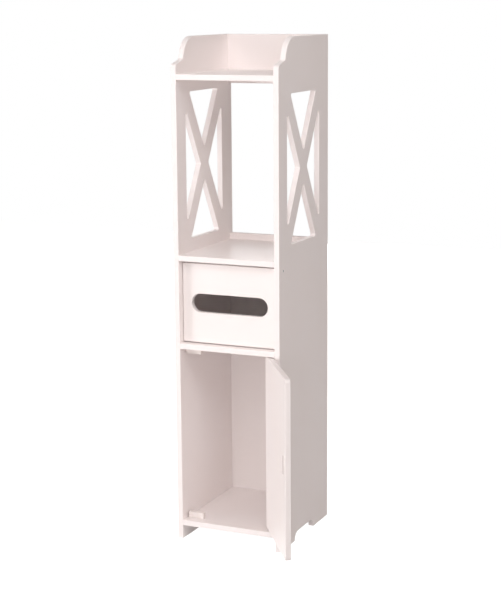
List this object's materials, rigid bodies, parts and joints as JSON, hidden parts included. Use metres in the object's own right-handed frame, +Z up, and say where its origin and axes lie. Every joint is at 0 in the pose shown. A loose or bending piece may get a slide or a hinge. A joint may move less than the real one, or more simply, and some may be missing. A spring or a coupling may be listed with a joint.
{
  "type": "toilet roll storage cabinet",
  "caption": "Slim white floor cabinet with a top tray, an open bay between side panels with X cut-outs, a slotted tissue flap and a cupboard with a side-hung door.",
  "frame": {"origin": "the lower front outer corner of the left side panel, on the floor", "axes": "+X to the right as seen from the front, +Y to the rear, +Z up"},
  "size_m": [0.2447, 0.3145, 0.8],
  "materials": {
    "white_board": "satin",
    "stop_plastic": "satin",
    "pin_steel": "satin",
    "dowel_wood": "matte"
  },
  "bodies": {
    "carcass": {"left_side_panel": "white_board", "right_side_panel": "white_board", "top_shelf": "white_board", "middle_shelf": "white_board", "lower_shelf": "white_board", "bottom_shelf": "white_board", "gallery_board": "white_board", "back_panel": "white_board", "flap_pin_left": "pin_steel", "flap_pin_right": "pin_steel", "door_pin_top": "pin_steel", "door_pin_bottom": "pin_steel", "flap_stop_left": "stop_plastic", "flap_stop_right": "stop_plastic", "door_stop_upper": "stop_plastic", "door_stop_lower": "stop_plastic", "top_shelf_dowels": "dowel_wood", "middle_shelf_dowels": "dowel_wood", "lower_shelf_dowels": "dowel_wood", "bottom_shelf_dowels": "dowel_wood", "gallery_dowels": "dowel_wood", "back_panel_dowels": "dowel_wood"},
    "flap": {"tissue_flap": "white_board"},
    "door": {"door": "white_board"}
  },
  "joints": [
    {"name": "flap_hinge", "type": "hinge", "parent": "carcass", "child": "flap", "pos_m": [0.09, 0.0165, 0.4472], "axis": [-1, 0, 0], "range_deg": [0, 90]},
    {"name": "door_hinge", "type": "hinge", "parent": "carcass", "child": "door", "pos_m": [0.1583, 0.0105, 0.17275], "axis": [0, 0, 1], "range_deg": [-124, 0]}
  ]
}
